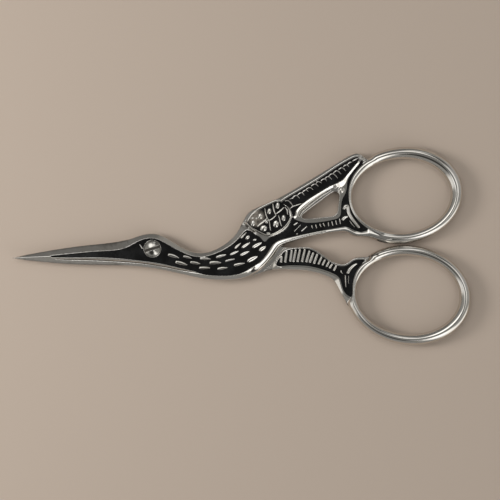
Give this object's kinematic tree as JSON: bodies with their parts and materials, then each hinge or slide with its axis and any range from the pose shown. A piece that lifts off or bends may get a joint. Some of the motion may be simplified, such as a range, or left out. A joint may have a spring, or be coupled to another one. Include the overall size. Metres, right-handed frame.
{
  "type": "stork embroidery scissors",
  "caption": "Small embroidery scissors shaped as a stork: beak blades, screw at the eye, polished rims over black lacquer, openwork tail and oval finger rings.",
  "frame": {"origin": "on the pivot screw's axis, in the plane of the back face that the closed scissors rest on", "axes": "+X from the eye screw towards the finger rings, along the closed blades; +Y from the leg towards the tail, across the rings; +Z out of the front face, along the pivot"},
  "size_m": [0.1147, 0.0497, 0.004],
  "materials": {
    "polished_plating": "polished plating on forged steel, faintly warm, fine handling marks",
    "screw_steel": "polished steel, domed and slotted",
    "black_lacquer": "glossy black baked lacquer in the recessed fields, thin and worn on the wing"
  },
  "bodies": {
    "back": {"back_half": "polished_plating", "pivot_screw": "screw_steel", "leg_lacquer": "black_lacquer", "back_body_lacquer": "black_lacquer"},
    "front": {"front_half": "polished_plating", "front_body_lacquer": "black_lacquer", "front_tail_lacquer": "black_lacquer", "front_wing_lacquer": "black_lacquer", "back_shank_lacquer": "black_lacquer", "back_tail_lacquer": "black_lacquer", "back_wing_lacquer": "black_lacquer"}
  },
  "joints": [
    {"name": "opening", "type": "hinge", "parent": "back", "child": "front", "pos_m": [0, 0, 0.0018], "axis": [0, 0, 1], "range_deg": [0, 65]}
  ]
}
